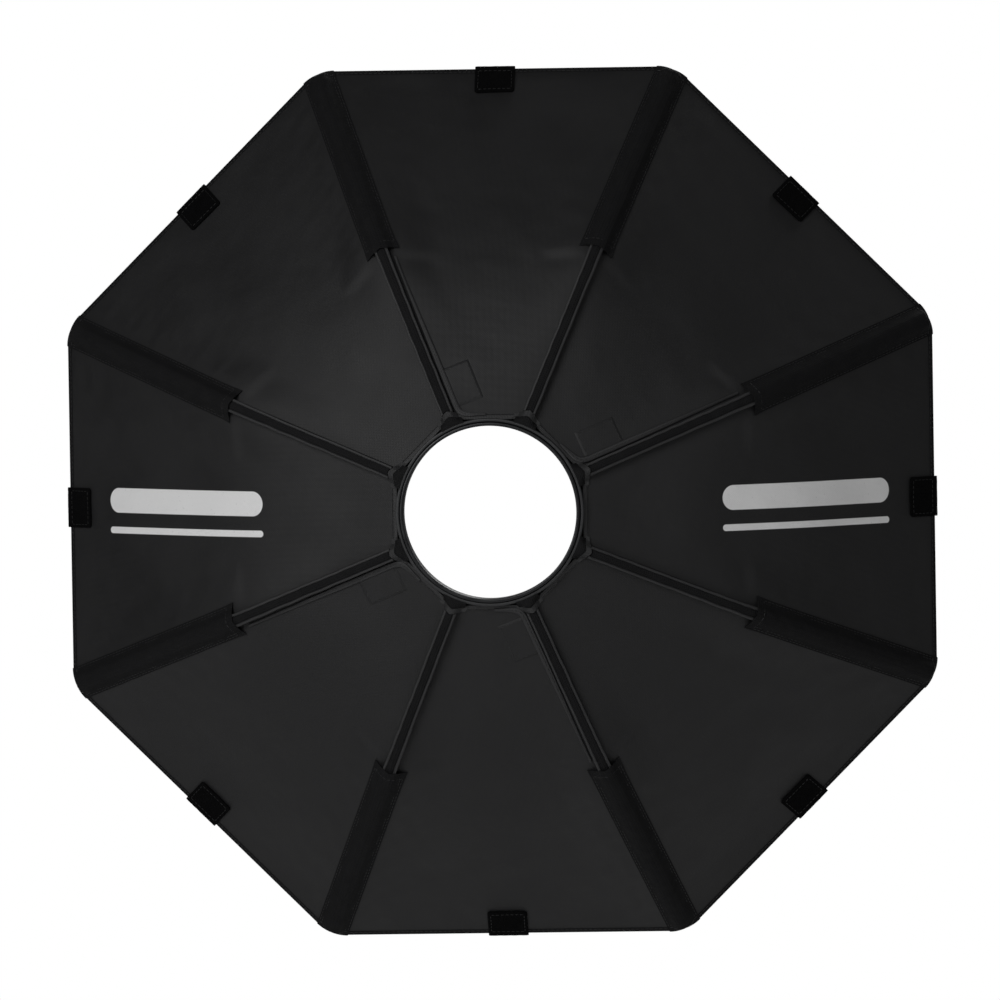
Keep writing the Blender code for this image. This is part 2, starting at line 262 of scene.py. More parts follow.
def anodised_aluminium():
    """Bead-blasted, then anodised black: a satin metal sheen with a fine grain and faint cloudiness."""
    material, tree = new_material("black_anodised_aluminium", Metallic=0.35)
    place = add_node(tree, "TexCoord", output="Object")
    broad = add_node(tree, "TexNoise", {"Vector": place, "Scale": 70.0, "Detail": 3.0})
    grain = add_node(tree, "TexNoise", {"Vector": place, "Scale": 2600.0, "Detail": 2.0})
    tint = add_node(tree, "Mix", {"Factor": broad, 6: "#17181a", 7: "#202123"}, 2, data_type="RGBA")
    sheen = add_node(tree, "MapRange", {"Value": broad, "From Min": 0.35, "From Max": 0.65, "To Min": 0.28,
                                        "To Max": 0.42})
    bumps = add_node(tree, "Bump", {"Height": grain, "Strength": 0.15, "Distance": 0.0002})
    return shaded(material, Base_Color=tint, Roughness=sheen, Normal=bumps)


def moulded_nylon():
    """Glass-filled nylon, injection moulded: a fine spark-eroded texture and a soft low sheen."""
    material, tree = new_material("black_glass_filled_nylon", Roughness=0.5)
    place = add_node(tree, "TexCoord", output="Object")
    cloud = add_node(tree, "TexNoise", {"Vector": place, "Scale": 120.0, "Detail": 4.0})
    grain = add_node(tree, "TexVoronoi", {"Vector": place, "Scale": 1800.0})
    tint = add_node(tree, "Mix", {"Factor": cloud, 6: "#17181a", 7: "#232426"}, 2, data_type="RGBA")
    return shaded(material, Base_Color=tint,
                  Normal=add_node(tree, "Bump", {"Height": grain, "Strength": 0.25, "Distance": 0.0003}))


aluminium = anodised_aluminium()
nylon = moulded_nylon()
for node_name, body in (("mount_ring", "bayonet_ring"), ("retaining_ring", "hub")):
    low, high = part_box(node_name)
    ring = turned_ring(node_name + "_turned", rounded_profile(bore, high[0], low[1], high[1], lip_radius), aluminium)
    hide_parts(node_name)
    carry(ring, body)

# The fixed ring carries eight pairs of ears with a hole for a hinge pin, moulded in one with the ring.
socket_inner = bore + ring_wall + running_gap
socket_outer = socket_inner + ring_wall
socket_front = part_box("mount_ring")[1][1]
pivot_radius, pivot_y = socket_outer + 0.0030, 0.0020
pin_hole, ear_edge, ear_wall, ear_gap = 0.0011, 0.0011, 0.0014, 0.0023
ear_sink, ear_steps = 0.0006, 40
sides = 8
half_step = math.pi / sides


def corner_angle(number):
    """The direction of a corner in the XZ plane, in radians from +X towards +Z."""
    return half_step + (number - 1) * 2 * half_step


def side_middle(number):
    """The direction of a side's middle line."""
    return corner_angle(number) + half_step


def radial(angle):
    """The unit vector away from the axis."""
    return np.array([math.cos(angle), 0.0, math.sin(angle)])


def tangent(angle):
    """The unit vector round the axis."""
    return np.array([-math.sin(angle), 0.0, math.cos(angle)])


optical = np.array([0.0, 1.0, 0.0])


def hinge_ear(angle, near, far):
    """A plate with a round hole: a loop of (hole, rim, rim, hole) swept round the pin, square towards the ring."""
    turn = np.linspace(0.0, 2 * math.pi, ear_steps, endpoint=False)
    reach = pin_hole + ear_edge
    back = pivot_radius - (socket_outer - ear_sink)
    tiny = 1e-6
    box_in = np.minimum(back / np.maximum(-np.cos(turn), tiny), reach / np.maximum(np.abs(np.sin(turn)), tiny))
    rim = np.where(np.cos(turn) < 0, box_in, reach)
    loop = np.stack([np.full_like(turn, pin_hole), rim, rim, np.full_like(turn, pin_hole)], axis=1)
    depth = np.array([near, near, far, far])
    flat = loop[..., None] * (np.cos(turn)[:, None, None] * radial(angle) + np.sin(turn)[:, None, None] * optical)
    points = flat + depth[None, :, None] * tangent(angle) + pivot_radius * radial(angle) + pivot_y * optical
    return points.reshape(-1, 3)


ring = turned_ring("socket_ring_moulded",
                   rounded_profile(socket_inner, socket_outer, 0.0, socket_front, lip_radius), nylon)
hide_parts("socket_ring")
carry(ring, "hub")
ear_points = []
ear_faces = []
for corner in range(1, sides + 1):
    for side in (-1, 1):
        spots = hinge_ear(corner_angle(corner), side * ear_gap, side * (ear_gap + ear_wall))
        quads = outward(spots - spots.mean(axis=0), grid_faces(ear_steps, 4, True, True))
        ear_faces.append(quads + sum(len(p) for p in ear_points))
        ear_points.append(spots)
ears = build("hinge_ears", np.concatenate(ear_points), np.concatenate(ear_faces), [nylon], ring_crease)
carry(ears, "hub")


# ---- Hinge pins, rod ends and spring rods ----
# Drawn steel pins with a bright zinc finish, nylon eyes pressed on the rods, and spring-steel rods with a
# thin black coating that has gone satin where it rubs in the sleeve.
def finished_steel(name, scale, dark, light, roughness, **constants):
    """Steel with a thin finish: a hazy colour, smoother where it is lighter or rubbed."""
    material, tree = new_material(name, **constants)
    place = add_node(tree, "TexCoord", output="Object")
    haze = add_node(tree, "TexNoise", {"Vector": place, "Scale": scale, "Detail": 3.0})
    tint = add_node(tree, "Mix", {"Factor": haze, 6: dark, 7: light}, 2, data_type="RGBA")
    sheen = add_node(tree, "MapRange", {"Value": haze, "To Min": roughness[0], "To Max": roughness[1]})
    return shaded(material, Base_Color=tint, Roughness=sheen)


finishes = {
    "pivot_pin": finished_steel("zinc_plated_steel", 900.0, "#9a9ca0", "#c6c8ca", (0.22, 0.42), Metallic=1.0),
    "rod_ferrule": nylon,
    "rod": finished_steel("black_coated_spring_steel", 220.0, "#141416", "#26272a", (0.25, 0.5)),
}
for corner in range(1, sides + 1):
    for kind, material in finishes.items():
        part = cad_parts[f"{kind}_{corner}"]
        part.data.materials.clear()
        part.data.materials.append(material)


# ---- Cloth gores ----
# Eight gores of black coated nylon with a silver reflective lining, sewn to each other along the ribs. The
# spring rods pull them tight: a shallow inner run, a soft crease, then a steeper run to the rim.
rim_radius = 0.300 / math.cos(half_step)
rim_depth = 0.160
crease_radius = 0.196
crease_softness = 0.013
inner_slope = math.tan(math.radians(17.0))
rod_lift = 0.00295
cloth_start = (socket_outer + 0.0017) / math.cos(half_step)
cloth_half = 0.0006
corner_rounding = 0.030
sleeve_half = 0.0039
pocket_half = 0.0120
mouth = 0.1950


def softplus(x):
    """A smooth ramp, flat below zero and rising by one beyond it."""
    return np.log1p(np.exp(x))


def rod_line(radius):
    """Height y and slope of a rod's axis: straight, then a softplus bend, then straight again."""
    ramp_start = softplus((pivot_radius - crease_radius) / crease_softness)
    ramp_end = softplus((rim_radius - crease_radius) / crease_softness)
    rise_left = rim_depth - pivot_y - inner_slope * (rim_radius - pivot_radius)
    extra = rise_left / (crease_softness * (ramp_end - ramp_start))
    bend = (radius - crease_radius) / crease_softness
    height = pivot_y + inner_slope * (radius - pivot_radius)
    height = height + extra * crease_softness * (softplus(bend) - ramp_start)
    return height, inner_slope + extra / (1.0 + np.exp(-bend))


def cloth_line(radius):
    """Radius and y of the cloth under a rod, one rod lift to the front of the rod's axis."""
    height, slope = rod_line(radius)
    size = np.sqrt(1.0 + slope**2)
    return radius - rod_lift * slope / size, height + rod_lift / size


def side_surface(number, radius, across):
    """Flat cloth between two rods: a straight line from rod to rod at each radius; across is metres from
    the side's middle, positive towards its second corner."""
    r, y = cloth_line(radius)
    middle = side_middle(number)
    out = r * math.cos(half_step)
    return out[..., None] * radial(middle) + across[..., None] * tangent(middle) + y[..., None] * optical


def half_side(radius):
    """Half the straight distance between two rods at a radius."""
    return cloth_line(radius)[0] * math.sin(half_step)


def side_normal(number, radius):
    """The cloth's normal, pointing out of the back of the box."""
    _, slope = rod_line(radius)
    steepness = slope / math.cos(half_step)
    raw = steepness[..., None] * radial(side_middle(number)) - optical
    return raw / np.linalg.norm(raw, axis=-1, keepdims=True)


fine_radius = np.linspace(cloth_start - 0.006, rim_radius + 0.006, 800)
fine_line = cloth_line(fine_radius)
fine_step = np.hypot(np.diff(fine_line[0] * math.cos(half_step)), np.diff(fine_line[1]))
fine_run = np.concatenate([[0.0], np.cumsum(fine_step)])
fine_run -= np.interp(cloth_start, fine_radius, fine_run)
whole_run = float(np.interp(rim_radius, fine_radius, fine_run))


def run_length(radius):
    """Distance along a side's middle line from the hub edge, by summing short straight steps."""
    return np.interp(radius, fine_radius, fine_run)


def radius_at(run):
    """The rod radius at a distance along a side's middle line."""
    return np.interp(run, fine_run, fine_radius)


def ripples(x, y, seed, wavelength, count=7):
    """Smooth cloth unevenness: a sum of sine waves in seeded directions, about one at its highest."""
    rng = np.random.default_rng(seed)
    total = np.zeros_like(x)
    for way, phase, size in zip(rng.uniform(0, math.pi, count), rng.uniform(0, 6.28, count),
                                rng.uniform(0.6, 1.6, count)):
        wave = 2 * math.pi / (wavelength * size)
        total = total + np.sin(wave * (x * math.cos(way) + y * math.sin(way)) + phase)
    return total / count


def smooth(x, low, high):
    """A smooth step from 0 at low to 1 at high."""
    t = np.clip((x - low) / (high - low), 0.0, 1.0)
    return t * t * (3.0 - 2.0 * t)


def held_width(radius):
    """How far the cloth on each side of a rod is held flat by the sleeve or pocket sewn over it."""
    by_sleeve, by_pocket = 0.0045, 0.0130
    return by_sleeve + (by_pocket - by_sleeve) * smooth(radius, 0.186, 0.196)


def fold_share(radius, across):
    """How far a point follows the pleat: 0 where a rod's sleeve holds it, 1 on the side's middle line."""
    from_rod = half_side(radius) - np.abs(across)
    held = held_width(radius)
    return np.clip((from_rod - held) / (half_side(radius) - held), 0.0, 1.0)


def cloth_sag(number, radius, across):
    """How far the cloth stands off the flat surface, out of the back: the bend pulls its middle in, the rim
    and hub hems stay straight, and shallow ripples run in from the pockets."""
    free = half_side(radius) - np.abs(across) - held_width(radius)
    loose = smooth(free, 0.0, 0.030)
    run = run_length(radius)
    ends = smooth(run, 0.0, 0.030) * smooth(whole_run - run, 0.0, 0.022)
    pull = -0.0042 * np.exp(-(((radius - crease_radius) / 0.040) ** 2)) * loose
    broad = 0.0016 * ripples(across, run, 100 + number, 0.110)
    fine = 0.00045 * ripples(across, run, 200 + number, 0.036, 9)
    near_pocket = np.exp(-free / 0.020) * smooth(radius, 0.20, 0.22)
    tug = 0.0009 * ripples(across, run, 300 + number, 0.018, 7) * near_pocket
    return pull + (broad + fine) * loose * ends + tug * smooth(free, 0.0, 0.006) * ends


def rim_inset(radius_share, from_corner):
    """How far the rim's edge is drawn in to round a corner of the outline, fading away from the rim."""
    reach = corner_rounding * math.tan(half_step)
    short = np.clip(reach - from_corner, 0.0, None) ** 2 / (2 * corner_rounding)
    return short * smooth(radius_share, 0.9, 1.0)


def gore_point(number, radius, across, lift=0.0):
    """A point of the sewn cloth, lifted off its middle surface by a distance out of the back."""
    normal = side_normal(number, radius)
    height = cloth_sag(number, radius, across) + lift
    point = side_surface(number, radius, across) + height[..., None] * normal
    from_corner = half_side(radius) - np.abs(across)
    inset = (rim_inset(radius / rim_radius, from_corner) / math.cos(half_step))[..., None]
    nearest = np.where((across > 0)[..., None], radial(corner_angle(number + 1)), radial(corner_angle(number)))
    _, slope = rod_line(radius)
    return point - inset * (nearest + slope[..., None] * optical)


def shell(name, outer, inner, uv, *materials):
    """A closed sheet from two grids of points, its outer and inner faces, joined round their edge. A second
    material goes on the inner face."""
    rows, columns, _ = outer.shape
    count = rows * columns
    points = np.concatenate([outer.reshape(-1, 3), inner.reshape(-1, 3)])
    top = grid_faces(rows, columns)
    index = np.arange(count).reshape(rows, columns)
    edge = np.concatenate([index[0, :-1], index[:-1, -1], index[-1, :0:-1], index[:0:-1, 0]])
    after = np.roll(edge, -1)
    wall = np.stack([edge, after, after + count, edge + count], axis=1)
    faces = np.concatenate([top, top[:, ::-1] + count, wall[:, ::-1]])
    centre = points.mean(axis=0)
    slots = np.zeros(len(faces))
    if len(materials) > 1:
        slots[len(top) : 2 * len(top)] = 1
    both_uv = np.concatenate([uv.reshape(-1, 2)] * 2)
    return build(name, points, outward(points - centre, faces), materials, math.radians(50), slots, both_uv)


def follow(piece, weights, rib, pleat):
    """Bake a piece's transform into its mesh; the piece is not bent with the fold. The weights, rib and pleat are not
    used."""
    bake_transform(piece)


def bodies_of(number, second):
    """The names of the rib and the pleat body given for each half of a side."""
    if second:
        return f"rib_{number % sides + 1}", f"tab_{number}"
    return f"rib_{number}", f"gore_{number}"


# The thread spacing of 420-denier nylon is about 0.4 mm; it is drawn at 0.8 mm so that it shows.
thread_spacing = 0.0008
ink_edge = 0.0002


def weave_height(tree, spacing):
    """Plain weave: two sets of sine threads at right angles, each over and under the other in turn."""
    uv = add_node(tree, "TexCoord", output="UV")
    waves = []
    for axis in ("X", "Y"):
        along = add_node(tree, "SeparateXYZ", {"Vector": uv}, axis)
        turns = add_node(tree, "Math", {0: along, 1: math.pi / spacing}, operation="MULTIPLY")
        waves.append(add_node(tree, "Math", {0: turns}, operation="SINE"))
    squares = [add_node(tree, "Math", {0: wave, 1: wave}, operation="MULTIPLY") for wave in waves]
    over = add_node(tree, "Math", {0: waves[0], 1: waves[1]}, operation="MULTIPLY")
    both = add_node(tree, "Math", {0: squares[0], 1: squares[1]}, operation="ADD")
    return add_node(tree, "Math", {0: over, 1: 0.5, 2: both}, operation="MULTIPLY_ADD")


def capsule_mask(tree, centre, length, height):
    """1 inside a bar with round ends that lies along V, 0 outside, from its signed distance."""
    uv = add_node(tree, "TexCoord", output="UV")
    across, along = [add_node(tree, "SeparateXYZ", {"Vector": uv}, axis) for axis in ("X", "Y")]
    away = add_node(tree, "Math", {0: along, 1: centre[1]}, operation="SUBTRACT")
    size = add_node(tree, "Math", {0: away}, operation="ABSOLUTE")
    past = add_node(tree, "Math", {0: size, 1: (length - height) / 2}, operation="SUBTRACT")
    clear = add_node(tree, "Math", {0: past, 1: 0.0}, operation="MAXIMUM")
    aside = add_node(tree, "Math", {0: across, 1: centre[0]}, operation="SUBTRACT")
    squares = [add_node(tree, "Math", {0: size, 1: size}, operation="MULTIPLY") for size in (clear, aside)]
    both = add_node(tree, "Math", {0: squares[0], 1: squares[1]}, operation="ADD")
    far = add_node(tree, "Math", {0: both}, operation="SQRT")
    return add_node(tree, "MapRange", {"Value": far, "From Min": height / 2 - ink_edge,
                                       "From Max": height / 2 + ink_edge, "To Min": 1.0, "To Max": 0.0})


def coated_nylon(name, bars=()):
    """Black nylon with a polyurethane coat: a matt weave, a faint sheen, cloudy handling marks and fine lint.
    Each bar of bars is a stripe of white screen ink: its centre, length and height in metres."""
    material, tree = new_material(name, Specular_IOR_Level=0.42)
    place = add_node(tree, "TexCoord", output="Object")
    cloud = add_node(tree, "TexNoise", {"Vector": place, "Scale": 14.0, "Detail": 5.0, "Roughness": 0.55})
    speck = add_node(tree, "TexNoise", {"Vector": place, "Scale": 420.0, "Detail": 3.0, "Roughness": 0.7})
    broad = add_node(tree, "MapRange", {"Value": cloud, "From Min": 0.3, "From Max": 0.7})
    grain = add_node(tree, "Math", {0: speck, 1: 0.35}, operation="MULTIPLY")
    patchy = add_node(tree, "Math", {0: broad, 1: 0.65, 2: grain}, operation="MULTIPLY_ADD")
    dye = add_node(tree, "Mix", {"Factor": patchy, 6: "#111112", 7: "#1a1a1b"}, 2, data_type="RGBA")
    lint = add_node(tree, "MapRange", {"Value": speck, "From Min": 0.66, "From Max": 0.78, "To Max": 0.35})
    colour = add_node(tree, "Mix", {"Factor": lint, 6: dye, 7: "#303031"}, 2, data_type="RGBA")
    for centre, length, height in bars:
        mask = capsule_mask(tree, centre, length, height)
        worn = add_node(tree, "MapRange", {"Value": speck, "From Min": 0.25, "From Max": 0.36, "To Min": 0.75})
        inked = add_node(tree, "Math", {0: mask, 1: worn}, operation="MULTIPLY")
        colour = add_node(tree, "Mix", {"Factor": inked, 6: colour, 7: "#e9e9e9"}, 2, data_type="RGBA")
    sheen = add_node(tree, "MapRange", {"Value": cloud, "From Min": 0.3, "From Max": 0.7, "To Min": 0.52,
                                        "To Max": 0.68})
    weave = weave_height(tree, thread_spacing)
    threads = add_node(tree, "Bump", {"Height": weave, "Strength": 0.5, "Distance": 0.00012})
    crinkle = add_node(tree, "TexNoise", {"Vector": place, "Scale": 55.0, "Detail": 4.0})
    rumple = add_node(tree, "Bump", {"Height": crinkle, "Strength": 0.35, "Distance": 0.0015, "Normal": threads})
    return shaded(material, Base_Color=colour, Roughness=sheen, Normal=rumple)


def silver_lining():
    """Nylon with a silver reflective coat: a bright, broad metal sheen broken up by fine pebbling."""
    material, tree = new_material("silver_reflective_cloth", Metallic=0.85)
    place = add_node(tree, "TexCoord", output="Object")
    cloud = add_node(tree, "TexNoise", {"Vector": place, "Scale": 22.0, "Detail": 4.0})
    tint = add_node(tree, "Mix", {"Factor": cloud, 6: "#bdbec0", 7: "#d9dadb"}, 2, data_type="RGBA")
    sheen = add_node(tree, "MapRange", {"Value": cloud, "To Min": 0.34, "To Max": 0.52})
    weave = weave_height(tree, 1.4 * thread_spacing)
    threads = add_node(tree, "Bump", {"Height": weave, "Strength": 0.5, "Distance": 0.0003})
    pebble = add_node(tree, "TexVoronoi", {"Vector": place, "Scale": 260.0})
    rumple = add_node(tree, "Bump", {"Height": pebble, "Strength": 0.25, "Distance": 0.0006, "Normal": threads})
    return shaded(material, Base_Color=tint, Roughness=sheen, Normal=rumple)


# Each print is a broad bar with a thin one under it, in the outer part of a side.
bar_start, bar_end = run_length(np.array([0.172, 0.292]))
bar_middle, bar_length = (bar_start + bar_end) / 2, bar_end - bar_start
prints = [[((way * 0.006, bar_middle), bar_length, 0.017), ((way * -0.0145, bar_middle), bar_length, 0.0045)]
          for way in (-1, 1)]
nylon_cloth = coated_nylon("black_coated_nylon")
printed_cloth = {4: coated_nylon("black_coated_nylon_with_stripes_left", prints[0]),
                 8: coated_nylon("black_coated_nylon_with_stripes_right", prints[1])}
lining = silver_lining()
gore_rows, gore_columns = 130, 46
seam_gap = 0.00012
for number in range(1, sides + 1):
    for second in (False, True):
        radius = np.linspace(cloth_start, rim_radius, gore_rows)[:, None]
        across = (half_side(radius) - seam_gap) * np.linspace(0.0, 1.0, gore_columns)[None, :]
        radius, across = np.broadcast_to(radius, across.shape), across if second else -across
        gore = shell(f"gore_{number}{'b' if second else 'a'}", gore_point(number, radius, across, cloth_half),
                     gore_point(number, radius, across, -cloth_half), np.stack([across, run_length(radius)], axis=-1),
                     printed_cloth.get(number, nylon_cloth), lining)
        follow(gore, fold_share(radius, across), *bodies_of(number, second))
    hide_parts(f"panel_{number}")


# ---- Shared sewing tools ----
def rib_point(corner, radius, aside, lift):
    """A point beside a rod: aside is metres from the corner line, positive on the side that it begins."""
    before = (corner - 2) % sides + 1
    edge = half_side(radius)
    ahead = gore_point(corner, radius, np.minimum(-(edge - np.abs(aside)), -1e-9))
    behind = gore_point(before, radius, np.maximum(edge - np.abs(aside), 1e-9))
    share = (np.clip(aside / sleeve_half, -1.0, 1.0) * 0.5 + 0.5)[..., None]
    normal = side_normal(corner, radius) * share + side_normal(before, radius) * (1.0 - share)
    normal = normal / np.linalg.norm(normal, axis=-1, keepdims=True)
    return np.where((aside >= 0)[..., None], ahead, behind) + lift[..., None] * normal


def loft(name, loops, material, uv):
    """A closed tube through loops of points (stations, loop, 3), with flat ends."""
    stations, count, _ = loops.shape
    ends = [list(range(count)), list(range(stations * count - count, stations * count))]
    faces = grid_faces(stations, count, False, True).tolist() + ends
    mesh = bpy.data.meshes.new(name)
    mesh.from_pydata(loops.reshape(-1, 3).tolist(), [], faces)
    shape = bmesh.new()
    shape.from_mesh(mesh)
    bmesh.ops.recalc_face_normals(shape, faces=shape.faces)
    shape.to_mesh(mesh)
    shape.free()
    write_uv(mesh, uv)
    mesh.update()
    made = placed(name, mesh, material)
    mesh.set_sharp_from_angle(angle=math.radians(50))
    return made


def strip_section(half_width, low, high, edge):
    """A flat strip's section as (aside, lift) pairs: a rectangle whose corners are rounded off."""
    corners = ((1, high, 0), (-1, high, 90), (-1, low, 180), (1, low, 270))
    edge = min(edge, (high - low) / 2.05)
    section = []
    for side, lift, start in corners:
        for turn in (0.0, 45.0, 90.0):
            a = math.radians(start + turn)
            up = lift - edge if lift == high else lift + edge
            section.append((side * (half_width - edge) + edge * math.cos(a), up + edge * math.sin(a)))
    return np.array(section)


def path_frame(path):
    """Unit directions square to a flat path (across, run), one at each of its points."""
    way = np.gradient(path, axis=0)
    way /= np.linalg.norm(way, axis=1, keepdims=True)
    return np.stack([-way[:, 1], way[:, 0]], axis=1)


def tape(name, number, second, path, section, material, widths=None, mitred=False):
    """A strip sewn along a flat path (across, run) on half a side.
    A mitred strip along an edge ends on the line of the rod."""
    beside = path_frame(path)
    scale = np.ones(len(path)) if widths is None else widths
    aside = section[None, :, 0] * scale[:, None]
    flat = path[:, None, :] + aside[..., None] * beside[:, None, :]
    radius = radius_at(flat[..., 1])
    if mitred:
        flat[..., 0] = path[:, :1] * half_side(radius) / half_side(radius_at(path[:, 1]))[:, None]
    lift = np.broadcast_to(section[None, :, 1], radius.shape)
    points = gore_point(number, radius, flat[..., 0], lift)
    along = np.concatenate([[0.0], np.cumsum(np.linalg.norm(np.diff(path, axis=0), axis=1))])
    round_way = np.concatenate([[0.0], np.cumsum(np.linalg.norm(np.diff(section, axis=0), axis=1))])
    uv = np.stack(np.broadcast_arrays(round_way[None, :], along[:, None]), axis=-1)
    made = loft(name, points, material, uv)
    follow(made, fold_share(radius, flat[..., 0]), *bodies_of(number, second))
    return made


stitch_pitch, stitch_length, stitch_width, stitch_height = 0.0032, 0.0023, 0.00042, 0.00028


def seam(spots, up):
    """Stitches along a line of points: arrays of vertices for flat capsules of thread, one for each pitch."""
    run = np.concatenate([[0.0], np.cumsum(np.linalg.norm(np.diff(spots, axis=0), axis=1))])
    count = max(1, int(run[-1] / stitch_pitch))
    at = (np.arange(count) + 0.5) * run[-1] / count
    centre = np.stack([np.interp(at, run, spots[:, k]) for k in range(3)], axis=1)
    after = np.stack([np.interp(at + stitch_length / 2, run, spots[:, k]) for k in range(3)], axis=1)
    back = np.stack([np.interp(at - stitch_length / 2, run, spots[:, k]) for k in range(3)], axis=1)
    way = (after - back) / np.linalg.norm(after - back, axis=1, keepdims=True)
    rise = np.stack([np.interp(at, run, up[:, k]) for k in range(3)], axis=1)
    rise -= (rise * way).sum(axis=1, keepdims=True) * way
    rise /= np.linalg.norm(rise, axis=1, keepdims=True)
    beside = np.cross(way, rise)
    turn = np.linspace(0.0, 2 * math.pi, 6, endpoint=False)
    rings = ((-0.5, 0.35), (-0.36, 1.0), (0.36, 1.0), (0.5, 0.35))
    shape = []
    for share, fat in rings:
        ring = (centre + way * share * stitch_length)[:, None, :]
        ring = ring + beside[:, None, :] * (np.cos(turn) * fat * stitch_width / 2)[None, :, None]
        shape.append(ring + rise[:, None, :] * (np.sin(turn) * fat * stitch_height / 2)[None, :, None])
    return np.stack(shape, axis=1).reshape(count, 24, 3)


def sew(name, stitches, material):
    """One mesh of many stitches from seam()."""
    points = np.concatenate(stitches)
    count = len(points)
    step = np.arange(3)[:, None] * 6
    k = np.arange(6)[None, :]
    quads = np.stack([step + k, step + (k + 1) % 6, step + 6 + (k + 1) % 6, step + 6 + k], axis=-1).reshape(-1, 4)
    ends = np.array([[5, 4, 3, 2, 1, 0], [18, 19, 20, 21, 22, 23]])
    faces = (np.arange(count)[:, None, None] * 24 + quads[None]).reshape(-1, 4).tolist()
    faces += (np.arange(count)[:, None, None] * 24 + ends[None]).reshape(-1, 6).tolist()
    mesh = bpy.data.meshes.new(name)
    mesh.from_pydata(points.reshape(-1, 3).tolist(), [], faces)
    mesh.update()
    return placed(name, mesh, material)


def surface_seam(number, path, lift):
    """Stitches along a flat path (across, run) on a side, at a height above the cloth's middle."""
    radius = radius_at(path[:, 1])
    spots = gore_point(number, radius, path[:, 0], np.full(len(path), lift))
    return seam(spots, side_normal(number, radius))


def sew_side(name, stitches, number, second):
    """Stitches on half a side."""
    sewn = sew(name, stitches, thread)
    spots = np.concatenate(stitches).reshape(-1, 3)
    middle = side_middle(number)
    radius = np.interp((spots @ radial(middle)) / math.cos(half_step), fine_line[0], fine_radius)
    follow(sewn, fold_share(radius, spots @ tangent(middle)), *bodies_of(number, second))
    return sewn


def woven_tape(name, dark, light, spacing, roughness, relief, specular):
    """Woven tape: fine ribs across it, a slightly uneven dye and a dull, dusty sheen."""
    material, tree = new_material(name, Roughness=roughness, Specular_IOR_Level=specular)
    place = add_node(tree, "TexCoord", output="Object")
    cloud = add_node(tree, "TexNoise", {"Vector": place, "Scale": 90.0, "Detail": 5.0, "Roughness": 0.65})
    tint = add_node(tree, "Mix", {"Factor": cloud, 6: dark, 7: light}, 2, data_type="RGBA")
    weave = weave_height(tree, spacing)
    threads = add_node(tree, "Bump", {"Height": weave, "Strength": relief, "Distance": 0.0003})
    fuzz = add_node(tree, "TexNoise", {"Vector": place, "Scale": 900.0, "Detail": 2.0})
    rough = add_node(tree, "Bump", {"Height": fuzz, "Strength": 0.3, "Distance": 0.0004, "Normal": threads})
    return shaded(material, Base_Color=tint, Normal=rough)


def sewing_thread(name, dark, light):
    """Bonded polyester thread: a soft gleam over a dark dye, twisted along its length."""
    material, tree = new_material(name, Roughness=0.5)
    place = add_node(tree, "TexCoord", output="Object")
    twist = add_node(tree, "TexNoise", {"Vector": place, "Scale": 1500.0, "Detail": 1.0})
    return shaded(material, Base_Color=add_node(tree, "Mix", {"Factor": twist, 6: dark, 7: light}, 2,
                                                data_type="RGBA"))


binding_tape = woven_tape("black_binding_tape", "#1c1c1d", "#2a2a2b", spacing=0.0011, roughness=0.6, relief=0.35,
                          specular=0.5)
# Dark webbing: the own colour of the pockets and the rim binding. On the rod sleeves and the hinge hoods it is also
# painted shade.
webbing_and_painted_shade = woven_tape("black_webbing_and_painted_shade", "#0e0e0f", "#19191a", spacing=0.0014, roughness=0.85,
                            relief=0.5, specular=0.16)
thread = sewing_thread("black_bonded_thread", "#121213", "#202021")
tab_thread = sewing_thread("jet_black_bonded_thread", "#070708", "#0d0d0e")


# ---- Rod sleeves and pockets ----
# Beside the hub each rod runs in a narrow webbing sleeve whose two edges are rolled and bound. The sleeve's dark
# webbing between its lighter edges is partly its own colour and partly painted shade: the shade over the rod in the
# groove between the edges. From the bend outwards the sleeve becomes a wide flat pocket, folded over the rim at the
# corner and sewn down.
webbing_thick = 0.0006
pocket_base = 0.0014
pocket_rise = rod_lift + 0.0021 + webbing_thick - 0.0019
stitch_proud = 0.0001
bead_aside, bead_high, bead_size = 0.0031, 0.0058, 0.00085
half_profile = np.array([
    (0.0046, 0.0009), (0.0044, 0.0021), (0.00425, 0.0036), (0.0041, 0.0049), (0.0036, 0.0056), (0.0030, 0.0057),
    (0.0024, 0.0056), (0.0017, 0.0057), (0.0009, 0.0058), (0.0, 0.00585)])
sleeve_profile = np.concatenate([half_profile * (-1, 1), half_profile[-2::-1]])


def pocket_form(radius, aside):
    """How far a pocket stands up over its rod, flared open at its mouth, and the radius that keeps the mouth
    square as seen along the axis."""
    rise = pocket_rise * (1.0 - smooth(np.abs(aside), 0.0021, 0.0095))
    rise = rise * (1.0 - smooth(radius, rim_radius - 0.0036, rim_radius - 0.0001))
    rise = rise + 0.0016 * np.exp(-(radius - mouth) / 0.007) * (1.0 - smooth(np.abs(aside), 0.0030, 0.0100))
    _, slope = rod_line(radius)
    back = rise * slope / np.sqrt(1.0 + slope**2) * (1.0 - smooth(radius, mouth, mouth + 0.040))
    return rise, radius - back


